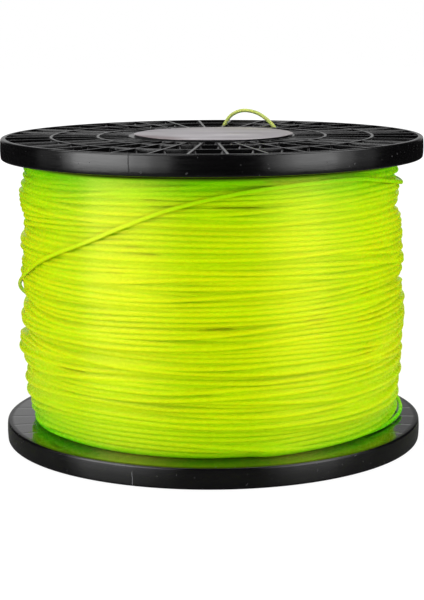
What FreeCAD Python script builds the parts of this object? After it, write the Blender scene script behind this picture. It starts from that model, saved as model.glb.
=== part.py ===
import FreeCAD, Part
import math
import os
import Sketcher

# String reel: a moulded three-part spool, full of thick string wound on its barrel.
# It stands on the rim of its lower flange. The origin is on its axis, in the plane
# it stands on. +Z is up and -Y is the front. All sizes are in millimetres.

SIZES = {
    # Both flanges are the same moulding, one of them turned over.
    "flange_diameter": 286,
    "flange_spacing": 179.5,
    "rim_height": 14,
    "rim_wall": 3.8,
    "rim_outer_chamfer": 1.5,
    "rim_inner_chamfer": 3,
    "web_thickness": 3,
    # Radial ribs run from the hub to the rim, through two rings.
    "rib_count": 36,
    "rib_thickness": 1.8,
    "rib_phase": 4,
    "inner_ring_radius": 77.2,
    "outer_ring_radius": 108.7,
    "ring_thickness": 2,
    # The hub is a cup that the barrel's end plugs into.
    "hub_wall": 3.2,
    "hub_plate": 4,
    "barrel_diameter": 106,
    "barrel_wall": 4,
    "barrel_clearance": 0.3,
    "arbor_diameter": 32,
    "arbor_wall": 3.5,
    "hub_rib_count": 6,
    "hub_rib_thickness": 2.4,
    "hub_rib_gap": 2.5,
    # Tie bolts run from hub to hub. Heads and nuts sit in hexagonal recesses.
    "bolt_count": 3,
    "bolt_circle": 76,
    "bolt_diameter": 6,
    "bolt_clearance": 0.2,
    "bolt_head_height": 4,
    "hexagon_flats": 10,
    "nut_height": 5,
    "recess_depth": 5.4,
    "recess_clearance": 0.2,
    "recess_wall": 2,
    "recess_floor": 2.6,
    # The label lies on the upper hub and covers its bolts.
    "label_diameter": 108,
    "label_thickness": 1.4,
    # The string fills the barrel, as a plain core under one wound outer layer.
    "string_diameter": 2.7,
    "string_seat": 0.3,
    "core_diameter": 255.4,
    "core_taper_width": 5,
    "core_taper_height": 7,
    # Two holes in the flange's web let a loop of string out and in again.
    "string_hole_clearance": 0.9,
    "first_hole_across": 5,
    "first_hole_back": 96,
    "second_hole_across": 50,
    "second_hole_back": 80,
}

# The outer layer of string, which leaves the top on a long diagonal over its own turns.
LAYER_TURNS = 7
LAYER_SIDES = 3
LAYER_MARGIN = 1.5
FULL_TURN = 360
QUARTER_TURN = 90
DIAGONAL_START_ANGLE = 23
DIAGONAL_START_DROP = 7.1
DIAGONAL_FALL = 61
DIAGONAL_SLOPE = 0.87
DIAGONAL_RUN_OUT = 39
CROSSING_GAP = 0.9

# The loop on the top, from where it leaves the string to where it goes back in.
# Each point is across, back and above the upper rim's top plane.
LOOP_SIDES = 4
LOOP_MIDDLE = [
    (5.0, 96.0, -7.5),
    (7.0, 95.3, 1.0),
    (11.5, 93.7, 7.7),
    (20.0, 90.7, 11.2),
    (30.5, 87.0, 10.0),
    (39.0, 84.0, 5.7),
    (46.2, 81.4, -0.9),
    (49.6, 80.2, -7.7),
]
BEND_SHARE = 0.45

doc = FreeCAD.newDocument("string_reel")
sheet = doc.addObject("Spreadsheet::Sheet", "Sizes")
for row, (alias, value) in enumerate(SIZES.items(), start=1):
    sheet.set(f"A{row}", alias)
    sheet.set(f"B{row}", str(value))
    sheet.setAlias(f"B{row}", alias)
doc.recompute()


def size(alias):
    return float(sheet.get(alias))


def new_body(name):
    body = doc.addObject("PartDesign::Body", name)
    body.Label = name
    body.AllowCompound = True
    return body


def new_sketch(body, name, plane, across="0 mm", lift="0 mm", turn="0 deg"):
    """A sketch on one of the body's own origin planes, moved and turned in that plane's frame."""
    sketch = body.newObject("Sketcher::SketchObject", name)
    for feature in body.Origin.OriginFeatures:
        if feature.Role == plane:
            sketch.AttachmentSupport = [(feature, "")]
    sketch.MapMode = "FlatFace"
    sketch.AttachmentOffset = FreeCAD.Placement(
        FreeCAD.Vector(0, 0, 0), FreeCAD.Rotation(FreeCAD.Vector(0, 0, 1), 0)
    )
    sketch.setExpression("AttachmentOffset.Base.x", across)
    sketch.setExpression("AttachmentOffset.Base.z", lift)
    sketch.setExpression("AttachmentOffset.Rotation.Angle", turn)
    return sketch


def hold(sketch, kind, edge, expression):
    """Holds the start of an edge at a distance from the sketch's origin, or on its axis."""
    axis = {"DistanceX": -2, "DistanceY": -1}[kind]
    if expression is None:
        sketch.addConstraint(Sketcher.Constraint("PointOnObject", edge, 1, axis))
        return
    index = sketch.addConstraint(Sketcher.Constraint(kind, -1, 1, edge, 1, 1.0))
    sketch.setExpression(f"Constraints[{index}]", expression)


def draw_outline(sketch, corners):
    """A closed outline of straight edges. Each corner is two expressions, or None for on the axis."""
    count = len(corners)
    first = sketch.GeometryCount
    guess = [
        FreeCAD.Vector(math.cos(math.tau * index / count) + 2, math.sin(math.tau * index / count) + 2, 0)
        for index in range(count)
    ]
    for index in range(count):
        sketch.addGeometry(Part.LineSegment(guess[index], guess[(index + 1) % count]), False)
    for index, (across, up) in enumerate(corners):
        edge = first + index
        before = first + (index - 1) % count
        sketch.addConstraint(Sketcher.Constraint("Coincident", before, 2, edge, 1))
        hold(sketch, "DistanceX", edge, across)
        hold(sketch, "DistanceY", edge, up)


def draw_circle(sketch, radius, across=None, up=None):
    """A circle at expressions for its centre, or centred on the sketch's origin."""
    start = FreeCAD.Vector(1 if across else 0, 1 if up else 0, 0)
    circle = sketch.addGeometry(Part.Circle(start, FreeCAD.Vector(0, 0, 1), 1), False)
    if across is None:
        sketch.addConstraint(Sketcher.Constraint("Coincident", circle, 3, -1, 1))
    else:
        for kind, expression in (("DistanceX", across), ("DistanceY", up)):
            if expression is None:
                sketch.addConstraint(Sketcher.Constraint("PointOnObject", circle, 3, -1))
                continue
            index = sketch.addConstraint(Sketcher.Constraint(kind, -1, 1, circle, 3, 1.0))
            sketch.setExpression(f"Constraints[{index}]", expression)
    index = sketch.addConstraint(Sketcher.Constraint("Radius", circle, 1.0))
    sketch.setExpression(f"Constraints[{index}]", radius)


def revolve(body, name, sketch):
    """A full turn of the sketch round its own vertical axis."""
    feature = body.newObject("PartDesign::Revolution", name)
    feature.Profile = sketch
    feature.ReferenceAxis = (sketch, ["V_Axis"])
    feature.Angle = 360
    sketch.Visibility = False
    doc.recompute()
    return feature


def pad(body, name, sketch, length):
    feature = body.newObject("PartDesign::Pad", name)
    feature.Profile = sketch
    feature.setExpression("Length", length)
    doc.recompute()
    return feature


def cut_down(body, name, sketch, depth):
    """A pocket downwards from its sketch."""
    before = body.Shape.Volume
    feature = body.newObject("PartDesign::Pocket", name)
    feature.Profile = sketch
    feature.setExpression("Length", depth)
    doc.recompute()
    assert body.Shape.Volume < before, f"{name} cuts nothing"
    return feature


def cut_through(body, name, sketch):
    """A pocket both ways from its sketch, through all that lies there."""
    before = body.Shape.Volume
    feature = body.newObject("PartDesign::Pocket", name)
    feature.Profile = sketch
    feature.Type = "ThroughAll"
    feature.Midplane = True
    doc.recompute()
    assert body.Shape.Volume < before, f"{name} cuts nothing"
    return feature


def polar_pattern(body, name, feature, count):
    """Copies of a feature, evenly round the body's axis."""
    pattern = body.newObject("PartDesign::PolarPattern", name)
    pattern.Originals = [feature]
    for axis in body.Origin.OriginFeatures:
        if axis.Role == "Z_Axis":
            pattern.Axis = (axis, [""])
    pattern.Angle = 360
    pattern.setExpression("Occurrences", count)
    body.Tip = pattern
    doc.recompute()
    return pattern


HUB_RADIUS = "(Sizes.barrel_diameter / 2 + Sizes.barrel_clearance + Sizes.hub_wall)"
SOCKET_RADIUS = "(Sizes.barrel_diameter / 2 + Sizes.barrel_clearance)"
RIM_INNER_RADIUS = "(Sizes.flange_diameter / 2 - Sizes.rim_wall)"
PLATE_UNDERSIDE = "(Sizes.rim_height - Sizes.hub_plate)"
RECESS_FLATS = "(Sizes.hexagon_flats + 2 * Sizes.recess_clearance)"
BOLT_HOLE_RADIUS = "Sizes.bolt_diameter / 2 + Sizes.bolt_clearance"
OVERALL_HEIGHT = "(Sizes.flange_spacing + 2 * Sizes.rim_height)"


def draw_flange_section(sketch):
    """The flange cut through its axis before its cells are cut: arbor tube, hub cup and a full-height disc."""
    tube_radius = "Sizes.arbor_diameter / 2 + Sizes.arbor_wall"
    draw_outline(
        sketch,
        [
            ("Sizes.arbor_diameter / 2", None),
            (tube_radius, None),
            (tube_radius, PLATE_UNDERSIDE),
            (SOCKET_RADIUS, PLATE_UNDERSIDE),
            (SOCKET_RADIUS, None),
            ("Sizes.flange_diameter / 2 - Sizes.rim_inner_chamfer", None),
            ("Sizes.flange_diameter / 2", "Sizes.rim_inner_chamfer"),
            ("Sizes.flange_diameter / 2", "Sizes.rim_height - Sizes.rim_outer_chamfer"),
            ("Sizes.flange_diameter / 2 - Sizes.rim_outer_chamfer", "Sizes.rim_height"),
            ("Sizes.arbor_diameter / 2", "Sizes.rim_height"),
        ],
    )


def draw_cell(sketch, inner, outer):
    """One cell between two ribs, centred on the sketch's X axis, with flat walls at two distances out."""

    def half_width(across):
        return (
            f"({across}) * tan(180 deg / Sizes.rib_count)"
            " - Sizes.rib_thickness / 2 / cos(180 deg / Sizes.rib_count)"
        )

    draw_outline(
        sketch,
        [
            (inner, half_width(inner)),
            (outer, half_width(outer)),
            (outer, f"-({half_width(outer)})"),
            (inner, f"-({half_width(inner)})"),
        ],
    )


def draw_hexagon(sketch, flats):
    """A hexagon on the bolt circle, with a flat towards the axis."""
    centre = "Sizes.bolt_circle / 2"
    far = f"({flats}) / sqrt(3)"
    near = f"({flats}) / sqrt(3) / 2"
    draw_outline(
        sketch,
        [
            (f"{centre} + ({flats}) / 2", near),
            (centre, far),
            (f"{centre} - ({flats}) / 2", near),
            (f"{centre} - ({flats}) / 2", f"-{near}"),
            (centre, f"-{far}"),
            (f"{centre} + ({flats}) / 2", f"-{near}"),
        ],
    )


def draw_bar(sketch, inner, outer, thickness):
    """A bar along the sketch's own X axis, centred on it, drawn from below the axis to above it."""
    draw_outline(
        sketch,
        [
            (inner, f"{thickness} / 2"),
            (outer, f"{thickness} / 2"),
            (outer, f"-{thickness} / 2"),
            (inner, f"-{thickness} / 2"),
        ],
    )


def make_flange(name):
    """One flange with its inner face at z = 0 and its ribbed face at z = rim_height."""
    body = new_body(name)
    section = new_sketch(body, f"{name}_section", "XZ_Plane")
    draw_flange_section(section)
    revolve(body, f"{name}_turned", section)

    hub_rib = new_sketch(body, f"{name}_hub_rib_plan", "XY_Plane", turn="180 deg / Sizes.hub_rib_count")
    draw_bar(
        hub_rib,
        "Sizes.arbor_diameter / 2 + Sizes.arbor_wall / 2",
        "Sizes.barrel_diameter / 2 - Sizes.barrel_wall - Sizes.hub_rib_gap",
        "Sizes.hub_rib_thickness",
    )
    hub_ribs = pad(body, f"{name}_hub_rib", hub_rib, "Sizes.rim_height - Sizes.hub_plate / 2")
    polar_pattern(body, f"{name}_hub_ribs", hub_ribs, "Sizes.hub_rib_count")

    seat_bottom = "Sizes.rim_height - Sizes.recess_depth - Sizes.recess_floor"
    boss = new_sketch(body, f"{name}_bolt_boss_plan", "XY_Plane", lift=seat_bottom)
    draw_hexagon(boss, f"{RECESS_FLATS} + 2 * Sizes.recess_wall")
    bosses = pad(body, f"{name}_bolt_boss", boss, "Sizes.recess_depth + Sizes.recess_floor")
    polar_pattern(body, f"{name}_bolt_bosses", bosses, "Sizes.bolt_count")

    recess = new_sketch(body, f"{name}_recess_plan", "XY_Plane", lift="Sizes.rim_height")
    draw_hexagon(recess, RECESS_FLATS)
    recesses = cut_down(body, f"{name}_recess", recess, "Sizes.recess_depth")
    polar_pattern(body, f"{name}_recesses", recesses, "Sizes.bolt_count")

    bore = new_sketch(body, f"{name}_bolt_hole_plan", "XY_Plane")
    draw_circle(bore, BOLT_HOLE_RADIUS, "Sizes.bolt_circle / 2", None)
    bores = cut_through(body, f"{name}_bolt_hole", bore)
    polar_pattern(body, f"{name}_bolt_holes", bores, "Sizes.bolt_count")

    holes = new_sketch(body, f"{name}_string_hole_plan", "XY_Plane")
    hole_radius = "Sizes.string_diameter / 2 + Sizes.string_hole_clearance"
    draw_circle(holes, hole_radius, "Sizes.first_hole_across", "Sizes.first_hole_back")
    draw_circle(holes, hole_radius, "Sizes.second_hole_across", "Sizes.second_hole_back")
    cut_through(body, f"{name}_string_holes", holes)

    cells = new_sketch(
        body,
        f"{name}_cell_plan",
        "XY_Plane",
        lift="Sizes.rim_height",
        turn="(Sizes.rib_phase - 90) * 1 deg + 180 deg / Sizes.rib_count",
    )
    half_ring = "Sizes.ring_thickness / 2"
    draw_cell(cells, HUB_RADIUS, f"Sizes.inner_ring_radius - {half_ring}")
    draw_cell(cells, f"Sizes.inner_ring_radius + {half_ring}", f"Sizes.outer_ring_radius - {half_ring}")
    draw_cell(cells, f"Sizes.outer_ring_radius + {half_ring}", RIM_INNER_RADIUS)
    cell_row = cut_down(body, f"{name}_cell_row", cells, "Sizes.rim_height - Sizes.web_thickness")
    polar_pattern(body, f"{name}_cells", cell_row, "Sizes.rib_count")
    return body


def place_flanges():
    """The upper flange faces up, and the lower one is turned over about X to face down."""
    upper = make_flange("upper_flange")
    upper.setExpression("Placement.Base.z", "Sizes.rim_height + Sizes.flange_spacing")
    lower = make_flange("lower_flange")
    lower.Placement = FreeCAD.Placement(
        FreeCAD.Vector(0, 0, 0), FreeCAD.Rotation(FreeCAD.Vector(1, 0, 0), 180)
    )
    lower.setExpression("Placement.Base.z", "Sizes.rim_height")
    return [upper, lower]


def make_barrel():
    """The tube that carries the string, pushed into both hub cups up to their plates."""
    body = new_body("barrel")
    wall = new_sketch(body, "barrel_plan", "XY_Plane", lift="Sizes.hub_plate")
    draw_circle(wall, "Sizes.barrel_diameter / 2")
    draw_circle(wall, "Sizes.barrel_diameter / 2 - Sizes.barrel_wall")
    pad(body, "barrel_tube", wall, f"{OVERALL_HEIGHT} - 2 * Sizes.hub_plate")
    return body


def make_bolts():
    """The tie bolts, from heads on the upper recess floors down to the outer faces of their nuts."""
    body = new_body("tie_bolts")
    seat = f"{OVERALL_HEIGHT} - Sizes.recess_depth"
    head = new_sketch(body, "bolt_head_plan", "XY_Plane", lift=seat)
    draw_hexagon(head, "Sizes.hexagon_flats")
    heads = pad(body, "bolt_head", head, "Sizes.bolt_head_height")
    polar_pattern(body, "bolt_heads", heads, "Sizes.bolt_count")
    shank = new_sketch(body, "bolt_shank_plan", "XY_Plane", lift="Sizes.recess_depth - Sizes.nut_height")
    draw_circle(shank, "Sizes.bolt_diameter / 2", "Sizes.bolt_circle / 2", None)
    shanks = pad(
        body, "bolt_shank", shank, f"{OVERALL_HEIGHT} - 2 * Sizes.recess_depth + Sizes.nut_height"
    )
    polar_pattern(body, "bolt_shanks", shanks, "Sizes.bolt_count")
    return body


def make_nuts():
    """The nuts, seated on the floors of the lower flange's recesses."""
    body = new_body("tie_bolt_nuts")
    nut = new_sketch(body, "nut_plan", "XY_Plane", lift="Sizes.recess_depth - Sizes.nut_height")
    draw_hexagon(nut, "Sizes.hexagon_flats")
    draw_circle(nut, BOLT_HOLE_RADIUS, "Sizes.bolt_circle / 2", None)
    nuts = pad(body, "nut", nut, "Sizes.nut_height")
    polar_pattern(body, "nuts", nuts, "Sizes.bolt_count")
    return body


def make_label():
    """A bare round label on the upper hub's plate."""
    label = doc.addObject("Part::Cylinder", "hub_label")
    label.Label = "hub_label"
    label.setExpression("Radius", "Sizes.label_diameter / 2")
    label.setExpression("Height", "Sizes.label_thickness")
    label.setExpression("Placement.Base.z", OVERALL_HEIGHT)
    return label


def make_string_core():
    """All the inner layers of string as one plain ring, drawn in where it meets the flanges."""
    body = new_body("string_inner_layers")
    low = "(Sizes.rim_height + Sizes.string_seat)"
    high = "(Sizes.rim_height + Sizes.flange_spacing - Sizes.string_seat)"
    inner = "Sizes.barrel_diameter / 2 + Sizes.string_seat"
    outer = "Sizes.core_diameter / 2"
    section = new_sketch(body, "core_section", "XZ_Plane")
    draw_outline(
        section,
        [
            (inner, low),
            (f"{outer} - Sizes.core_taper_width", low),
            (outer, f"{low} + Sizes.core_taper_height"),
            (outer, f"{high} - Sizes.core_taper_height"),
            (f"{outer} - Sizes.core_taper_width", high),
            (inner, high),
        ],
    )
    revolve(body, "core", section)
    return body


def bend(start, corner, end):
    """The arc that leaves start towards the corner and reaches end coming from it, both as far from it."""
    middle = (start + end) * 0.5
    reach = (corner - start).Length
    half_turn = math.acos(min(1.0, (end - start).Length / 2 / reach))
    radius = reach / math.tan(half_turn)
    inward = corner - middle
    crown = middle + inward * (radius * (1 - math.cos(half_turn)) / inward.Length)
    return Part.Arc(start, crown, end).toShape(), radius


def biarc(start, start_way, end, end_way):
    """Two arcs that meet smoothly, from one point and direction to another."""
    span = end - start
    ways = start_way + end_way
    opening = 2 * (1 - start_way.dot(end_way))
    root = math.sqrt(span.dot(ways) ** 2 + opening * span.dot(span))
    reach = (root - span.dot(ways)) / opening
    first = start + start_way * reach
    last = end - end_way * reach
    joint = (first + last) * 0.5
    return [bend(start, first, joint), bend(joint, last, end)]


def layer_knot(angle, height, radius, fall):
    """A point of the outer layer and its direction, at an angle from the front and mm of fall per degree."""
    turn = math.radians(angle)
    point = FreeCAD.Vector(radius * math.sin(turn), -radius * math.cos(turn), height)
    way = FreeCAD.Vector(-radius * math.cos(turn), -radius * math.sin(turn), -math.degrees(fall))
    return point, way.normalize()


def layer_knots():
    """The outer layer's knots at each quarter turn: even turns from low to high, then the diagonal."""
    wire = size("string_diameter") / 2
    radius = size("core_diameter") / 2 + size("string_seat") + wire
    margin = size("string_seat") + size("core_taper_height") + LAYER_MARGIN
    low = size("rim_height") + margin
    high = size("rim_height") + size("flange_spacing") - margin
    pitch = (high - low) / LAYER_TURNS
    steps = LAYER_TURNS * FULL_TURN // QUARTER_TURN
    first_angle = DIAGONAL_START_ANGLE + QUARTER_TURN + FULL_TURN * LAYER_TURNS
    knots = [
        layer_knot(
            first_angle - QUARTER_TURN * step, low + (high - low) * step / steps, radius, -pitch / FULL_TURN
        )
        for step in range(steps + 1)
    ]
    over = radius + size("string_diameter") + CROSSING_GAP
    start = size("rim_height") + size("flange_spacing") - DIAGONAL_START_DROP
    knots.append(layer_knot(DIAGONAL_START_ANGLE, start, over, 0))
    knots.append(layer_knot(DIAGONAL_START_ANGLE - QUARTER_TURN, start - DIAGONAL_FALL, over, DIAGONAL_SLOPE))
    last = start - DIAGONAL_FALL - DIAGONAL_RUN_OUT
    knots.append(layer_knot(DIAGONAL_START_ANGLE - 2 * QUARTER_TURN, last, over, 0))
    return knots


def sided_tube(edges, start, way, radius, sides):
    """A tube of flat sides along smoothly joined edges, with its corners on the given radius."""
    outward = FreeCAD.Vector(start.x, start.y, 0)
    across = way.cross(outward).normalize()
    outward = across.cross(way)
    corners = [
        start
        + outward * (radius * math.cos(math.tau * (side + 0.5) / sides))
        + across * (radius * math.sin(math.tau * (side + 0.5) / sides))
        for side in range(sides)
    ]
    section = Part.makePolygon(corners + corners[:1])
    path = Part.Wire(edges)
    tube = path.makePipeShell([section], True, False)
    area = sides / 2 * radius**2 * math.sin(math.tau / sides)
    print(f"tube volume {tube.Volume:.0f}, section times length {area * path.Length:.0f}, length {path.Length:.0f}")
    return tube


def least_gap(edges, diameter):
    """The least distance of a wound tube from its own other turns, measured on points along it."""
    spacing = 4.0
    far_along = 40
    points = [point for edge in edges for point in edge.discretize(Distance=spacing)]
    return min(
        one.distanceToPoint(other)
        for index, one in enumerate(points)
        for other in points[index + far_along :]
    ) - diameter


def make_outer_layer():
    """The layer of string that shows, as one unbroken tube."""
    diameter = size("string_diameter")
    knots = layer_knots()
    first, first_way = knots[0]
    last, last_way = knots[-1]
    start = first - first_way * diameter
    edges = [Part.LineSegment(start, first).toShape()]
    radii = []
    for (here, way), (there, next_way) in zip(knots, knots[1:]):
        for arc, radius in biarc(here, way, there, next_way):
            edges.append(arc)
            radii.append(radius)
    edges.append(Part.LineSegment(last, last + last_way * diameter).toShape())
    print(f"outer layer: tightest bend {min(radii):.1f}, least gap to itself {least_gap(edges, diameter):.2f}")
    layer = doc.addObject("Part::Feature", "string_outer_layer")
    layer.Label = "string_outer_layer"
    layer.Shape = sided_tube(edges, start, first_way, diameter / 2, LAYER_SIDES)
    layer.Placement = FreeCAD.Placement()
    return layer


def loop_points():
    """The loop's route, which starts and ends square on the inner layers, under the two web holes."""
    top = size("flange_spacing") + 2 * size("rim_height")
    string_top = size("rim_height") + size("flange_spacing") - size("string_seat")
    first = FreeCAD.Vector(size("first_hole_across"), size("first_hole_back"), string_top)
    last = FreeCAD.Vector(size("second_hole_across"), size("second_hole_back"), string_top)
    return [first] + [FreeCAD.Vector(across, back, top + up) for across, back, up in LOOP_MIDDLE] + [last]


def make_loop():
    """The free loop of string over the top flange: straight runs joined by tangent arcs."""
    points = loop_points()
    edges = []
    here = points[0]
    radii = []
    for before, corner, after in zip(points, points[1:], points[2:]):
        back = before - corner
        ahead = after - corner
        half_turn = (math.pi - back.getAngle(ahead)) / 2
        reach = BEND_SHARE * min(back.Length, ahead.Length)
        radii.append(reach / math.tan(half_turn))
        start = corner + back.normalize() * reach
        end = corner + ahead.normalize() * reach
        edges.append(Part.LineSegment(here, start).toShape())
        edges.append(bend(start, corner, end)[0])
        here = end
    edges.append(Part.LineSegment(here, points[-1]).toShape())
    print("loop radii", " ".join(f"{radius:.1f}" for radius in radii))
    way = (points[1] - points[0]).normalize()
    loop = doc.addObject("Part::Feature", "string_anchor_loop")
    loop.Label = "string_anchor_loop"
    loop.Shape = sided_tube(edges, points[0], way, size("string_diameter") / 2, LOOP_SIDES)
    loop.Placement = FreeCAD.Placement()
    return loop


def check_and_write(parts):
    """Stops on a failed object or an unsound solid, and otherwise writes each part's file."""
    doc.recompute()
    for thing in doc.Objects:
        assert not {"Invalid", "Error"} & set(thing.State), f"{thing.Name} failed: {thing.State}"
    for part in parts:
        shape = part.Shape
        assert not shape.isNull() and shape.isValid() and shape.Solids, f"{part.Label} is not a sound solid"
    os.makedirs("parts", exist_ok=True)
    for part in parts:
        part.Shape.exportStep(f"parts/{part.Label}.step")
        box = part.Shape.BoundBox
        print(
            f"{part.Label}: {len(part.Shape.Solids)} solids, volume {part.Shape.Volume:.0f},"
            f" z {box.ZMin:.2f} to {box.ZMax:.2f}, width {box.XLength:.2f}"
        )


check_and_write(
    place_flanges()
    + [make_barrel(), make_bolts(), make_nuts(), make_label()]
    + [make_string_core(), make_outer_layer(), make_loop()]
)
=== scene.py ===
"""The string reel, dressed for a studio picture.

Lengths in the tables are millimetres, scaled to metres where the meshes are made. Angles round the
reel are degrees from the front (-Y) towards +X.
"""
import math

import bmesh
import bpy
import numpy as np
from mathutils import Matrix, Vector


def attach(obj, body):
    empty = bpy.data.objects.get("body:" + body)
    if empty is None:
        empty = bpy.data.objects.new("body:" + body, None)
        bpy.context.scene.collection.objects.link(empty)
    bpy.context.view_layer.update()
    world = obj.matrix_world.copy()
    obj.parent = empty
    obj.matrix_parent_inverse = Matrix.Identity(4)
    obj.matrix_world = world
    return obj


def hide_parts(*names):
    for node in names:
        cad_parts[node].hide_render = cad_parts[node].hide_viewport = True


MM = 0.001
FLANGE_HEIGHT = 14.0  # also the height of the lower flange's inner face
UPPER_LIFT = 193.5  # the height of the upper flange's inner face
TOP = 207.5
WIRE = 2.7  # the string's diameter
RIBS = 36
RIB_PHASE = 4.0
WIND_SEED, SWELL_SEED, LABEL_SEED = 27, 5, 7

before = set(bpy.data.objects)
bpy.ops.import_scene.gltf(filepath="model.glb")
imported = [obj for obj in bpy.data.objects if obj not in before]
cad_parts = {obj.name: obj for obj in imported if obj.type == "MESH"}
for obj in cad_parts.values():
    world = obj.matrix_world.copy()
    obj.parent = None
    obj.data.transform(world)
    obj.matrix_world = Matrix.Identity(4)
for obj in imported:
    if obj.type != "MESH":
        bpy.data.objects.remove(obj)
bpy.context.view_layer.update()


def link(obj):
    """Puts an object into the scene."""
    bpy.context.scene.collection.objects.link(obj)
    return obj


def unit(vectors):
    return vectors / np.linalg.norm(vectors, axis=1)[:, None]


def ramp(value, start, whole):
    """0 up to the start and 1 from the whole value on; the start may be the higher of the two."""
    return np.clip((value - start) / (whole - start), 0, 1)


UP_LEAN = 0.09  # how far the leaning normals point up, as a share of how far they point out


def mesh_object(name, verts, faces, material, smooth=True, painted_shading=None, lean=0.0):
    """A mesh from points in millimetres. String also gets, at each point, how much painted shade and
    painted shadow it has.

    The normals lean out from the reel's axis, and a little up, by the given share. It gives the soft
    look of clear string.
    """
    mesh = bpy.data.meshes.new(name)
    mesh.from_pydata((np.array(verts) * MM).tolist(), [], faces)
    mesh.validate()
    mesh.polygons.foreach_set("use_smooth", [smooth] * len(mesh.polygons))
    mesh.materials.append(material)
    if painted_shading is not None:
        layer = mesh.attributes.new("painted_shading", "FLOAT_VECTOR", "POINT")
        layer.data.foreach_set("vector", np.asarray(painted_shading, np.float32).ravel())
    if np.any(lean):
        lean = np.broadcast_to(lean, len(mesh.vertices))[:, None]
        own = np.zeros(len(mesh.vertices) * 3)
        mesh.vertex_normals.foreach_get("vector", own)
        out = unit(np.array(verts) * (1, 1, 0))
        own = unit(own.reshape(-1, 3) * (1 - lean) + (out + (0, 0, UP_LEAN)) * lean)
        mesh.normals_split_custom_set_from_vertices([tuple(v) for v in own])
    return link(bpy.data.objects.new(name, mesh))


# Camera

# fitted to the ellipses of the rims in the photograph
CAMERA_PLACE = (0, -1.1266, 0.2992)
CAMERA_DOWN = 10.35
CAMERA_ROLL = -0.336
CAMERA_LENS = 99.32

camera_data = bpy.data.cameras.new("camera")
camera_data.sensor_width = 36
camera_data.lens = CAMERA_LENS
camera_data.shift_x = -0.001
camera_data.clip_start = 0.05
camera = link(bpy.data.objects.new("camera", camera_data))
camera.matrix_world = (
    Matrix.Translation(CAMERA_PLACE)
    @ Matrix.Rotation(math.radians(90 - CAMERA_DOWN), 4, "X")
    @ Matrix.Rotation(math.radians(CAMERA_ROLL), 4, "Z")
)
bpy.context.scene.camera = camera


# Material nodes
def new_material(name):
    material = bpy.data.materials.new(name)
    material.use_nodes = True
    tree = material.node_tree
    shader = next(n for n in tree.nodes if n.type == "BSDF_PRINCIPLED")
    return material, tree, shader


def feed(tree, made, inputs):
    """Sets each named input of a node, or wires it up where its value is another node's output."""
    for key, value in inputs.items():
        if hasattr(value, "is_output"):
            tree.links.new(value, made.inputs[key])
        else:
            made.inputs[key].default_value = value


def node(tree, kind, inputs, **settings):
    made = tree.nodes.new(kind)
    for key, value in settings.items():
        setattr(made, key, value)
    feed(tree, made, inputs)
    return made


def object_point(tree):
    return node(tree, "ShaderNodeTexCoord", {}).outputs["Object"]


def split(tree, vector):
    """A vector's three parts."""
    return node(tree, "ShaderNodeSeparateXYZ", {0: vector}).outputs


def length(tree, vector):
    return node(tree, "ShaderNodeVectorMath", {0: vector}, operation="LENGTH").outputs["Value"]


def noise(tree, point, scale, detail=2.0, stretch=None, rough=0.5):
    """Noise at the point, stretched if asked for."""
    if stretch:
        point = node(tree, "ShaderNodeMapping", {"Vector": point, "Scale": stretch}).outputs["Vector"]
    settings = {"Vector": point, "Scale": scale, "Detail": detail, "Roughness": rough}
    return node(tree, "ShaderNodeTexNoise", settings).outputs["Fac"]


def spread(tree, value, low, high, start=0.0, end=1.0):
    """A value from low..high mapped to start..end, held at both."""
    settings = {0: value, 1: low, 2: high, 3: start, 4: end}
    return node(tree, "ShaderNodeMapRange", settings, clamp=True).outputs[0]


def combine(tree, kind, one, other=0.0):
    return node(tree, "ShaderNodeMath", {0: one, 1: other}, operation=kind).outputs[0]


def plus(tree, one, other):
    return combine(tree, "ADD", one, other)


def minus(tree, one, other):
    return combine(tree, "SUBTRACT", one, other)


def times(tree, one, other):
    return combine(tree, "MULTIPLY", one, other)


def distance(tree, one, other):
    return combine(tree, "ABSOLUTE", minus(tree, one, other))


def blend(tree, factor, one, other):
    """A colour between two, each of them three numbers or another node's output."""
    one, other = (c if hasattr(c, "is_output") else (*c, 1) for c in (one, other))
    return node(tree, "ShaderNodeMix", {0: factor, 6: one, 7: other}, data_type="RGBA").outputs[2]


def bump(tree, height, reach, strength):
    settings = {"Height": height, "Distance": reach, "Strength": strength}
    return node(tree, "ShaderNodeBump", settings).outputs["Normal"]


# Black plastic
PLASTIC_BLACKS = ((0.0012, 0.0011, 0.0013), (0.0026, 0.0024, 0.0028))
DUST_COLOUR = (0.10, 0.10, 0.105)
PALE_SEAM = (0.22, 0.22, 0.24)
DARK_SEAM = (0.0005, 0.0005, 0.0005)
UPPER_SEAM, LOWER_SEAM = -20.5, -20.8
# the weld line: how far it wanders and where it fades, in radians round the reel
SEAM_WANDER = 0.0022
SEAM_FADE = (0.0008, 0.0026)
# radii between which the rim's wall begins and the inner face ends
RIM_WALL = (0.1395, 0.1400)
FACE_END = (0.1385, 0.1400)
# heights between which a pale weld line ends, and how far from the inner face its own look ends
SEAM_END = (0.0085, 0.0105)
FACE_DEPTH = (0.0002, 0.0012)
# a sink line's edge and middle, as shares of the way from rib to rib
SINK_FADE = (0.40, 0.5)
# the noises, as waves in a metre, and the peaks that are dust
CLOUD_SCALE, GRAIN_SCALE, SCRATCH_SCALE, DUST_SCALE, SEAM_SCALE = 22, 900, 60, 420, 260
DUST_SHARE = (0.735, 0.78)
GROOVE_DEPTH = 0.8
IOR = 1.5


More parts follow.
